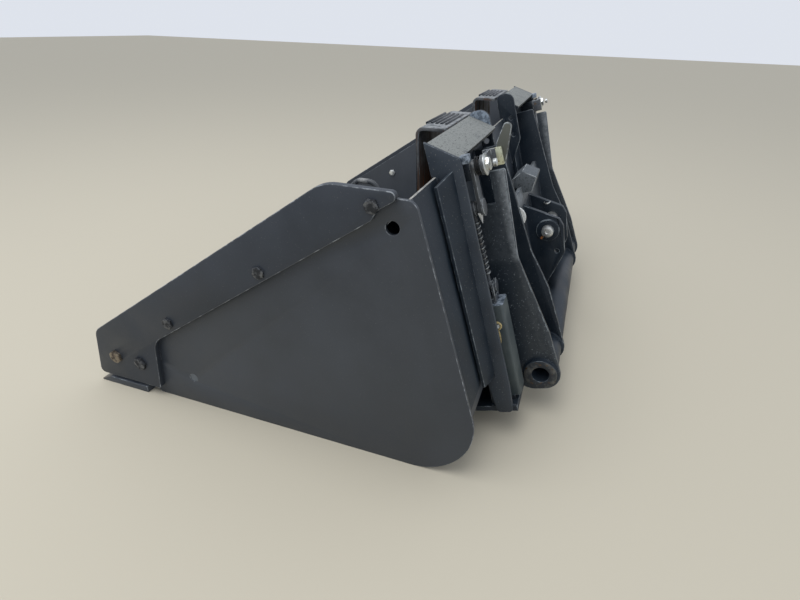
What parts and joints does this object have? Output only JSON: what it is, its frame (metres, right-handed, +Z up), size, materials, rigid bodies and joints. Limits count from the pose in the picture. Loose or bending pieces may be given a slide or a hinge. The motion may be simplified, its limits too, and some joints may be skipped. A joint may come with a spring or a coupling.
{
  "type": "skid steer loader bucket with quick-attach coupler",
  "caption": "Small skid steer loader bucket with bolt-on side cutters and steps, locked on its quick-attach coupler by hand levers, links and sprung wedges.",
  "frame": {"origin": "on the floor, under the middle of the box round the bucket and coupler", "axes": "+X the machine's left, -Y its front where the cutting edge is, +Z up"},
  "size_m": [1.1622, 0.8748, 0.5252],
  "materials": {
    "body_paint": "satin charcoal paint, a little dust",
    "edge_paint": "satin charcoal paint, worn bright along the edges",
    "worn_steel": "scraped steel with rust specks",
    "dusty_paint": "charcoal paint under grey dust with dark specks",
    "step_paint": "charcoal paint with rust runs on the legs",
    "bolt_zinc": "dark weathered zinc plate with a few bright facets",
    "zinc": "bright zinc plate",
    "zinc_yellow": "yellow zinc plate",
    "grip_paint": "grey olive paint",
    "latch_paint": "dark grey paint, greasy",
    "spring_black": "black spring steel",
    "bare_bar": "grey bare bar"
  },
  "bodies": {
    "bucket_on_coupler": {"bucket_shell": "body_paint", "cutting_edge": "edge_paint", "wear_strips": "worn_steel", "top_stiffener": "body_paint", "tie_loop": "bare_bar", "cross_tube": "body_paint", "cross_panel": "body_paint", "stop_block": "body_paint", "tilt_ears": "body_paint", "tilt_pin": "zinc", "side_plate_left": "body_paint", "side_plate_right": "body_paint", "side_cutter_left": "edge_paint", "side_cutter_right": "edge_paint", "cutter_bolts_left": "bolt_zinc", "cutter_bolts_right": "bolt_zinc", "step_left": "step_paint", "step_right": "step_paint", "bracket_outer_left": "body_paint", "bracket_outer_right": "body_paint", "bracket_inner_left": "body_paint", "bracket_inner_right": "body_paint", "bracket_cap_left": "dusty_paint", "bracket_cap_right": "dusty_paint", "bracket_gusset_left": "body_paint", "bracket_gusset_right": "body_paint", "bracket_shelf_left": "body_paint", "bracket_shelf_right": "body_paint", "coupler_face_left": "body_paint", "coupler_face_right": "body_paint", "outer_web_left": "body_paint", "outer_web_right": "body_paint", "inner_web_left": "body_paint", "inner_web_right": "body_paint", "pivot_boss_left": "body_paint", "pivot_boss_right": "body_paint", "wedge_guide_left": "body_paint", "wedge_guide_right": "body_paint", "pivot_bolt_left": "zinc", "pivot_bolt_right": "zinc"},
    "lever_left": {"lever_left": "latch_paint", "lever_strap_left": "zinc_yellow", "pivot_coil_left": "spring_black", "lever_grip": "grip_paint"},
    "link_left": {"link_rod_left": "latch_paint", "link_spring_left": "spring_black"},
    "wedge_left": {"wedge_left": "latch_paint"},
    "lever_right": {"lever_right": "latch_paint", "lever_strap_right": "zinc_yellow", "pivot_coil_right": "spring_black"},
    "link_right": {"link_rod_right": "latch_paint", "link_spring_right": "spring_black"},
    "wedge_right": {"wedge_right": "latch_paint"}
  },
  "joints": [
    {"name": "lever_turn_left", "type": "hinge", "parent": "bucket_on_coupler", "child": "lever_left", "pos_m": [0.387, 0.24982, 0.46789], "axis": [0, 0.9521, 0.3057], "range_deg": [0, 50]},
    {"name": "link_turn_left", "type": "hinge", "parent": "lever_left", "child": "link_left", "pos_m": [0.387, 0.25224, 0.40145], "axis": [0, -0.9521, -0.3057], "range_deg": [0, 71.59]},
    {"name": "wedge_slide_left", "type": "slide", "parent": "bucket_on_coupler", "child": "wedge_left", "axis": [0, -0.3057, 0.9521], "range_m": [0, 0.0324]},
    {"name": "lever_turn_right", "type": "hinge", "parent": "bucket_on_coupler", "child": "lever_right", "pos_m": [-0.387, 0.24982, 0.46789], "axis": [0, -0.9521, -0.3057], "range_deg": [0, 50]},
    {"name": "link_turn_right", "type": "hinge", "parent": "lever_right", "child": "link_right", "pos_m": [-0.387, 0.25224, 0.40145], "axis": [0, 0.9521, 0.3057], "range_deg": [0, 71.59]},
    {"name": "wedge_slide_right", "type": "slide", "parent": "bucket_on_coupler", "child": "wedge_right", "axis": [0, -0.3057, 0.9521], "range_m": [0, 0.0324]}
  ],
  "couplings": [
    {"joint": "link_turn_left", "follows": "lever_turn_left", "ratio": 1.4259},
    {"joint": "wedge_slide_left", "follows": "lever_turn_left", "m_per_rad": 0.03676},
    {"joint": "link_turn_right", "follows": "lever_turn_right", "ratio": 1.4259},
    {"joint": "wedge_slide_right", "follows": "lever_turn_right", "m_per_rad": 0.03676}
  ]
}
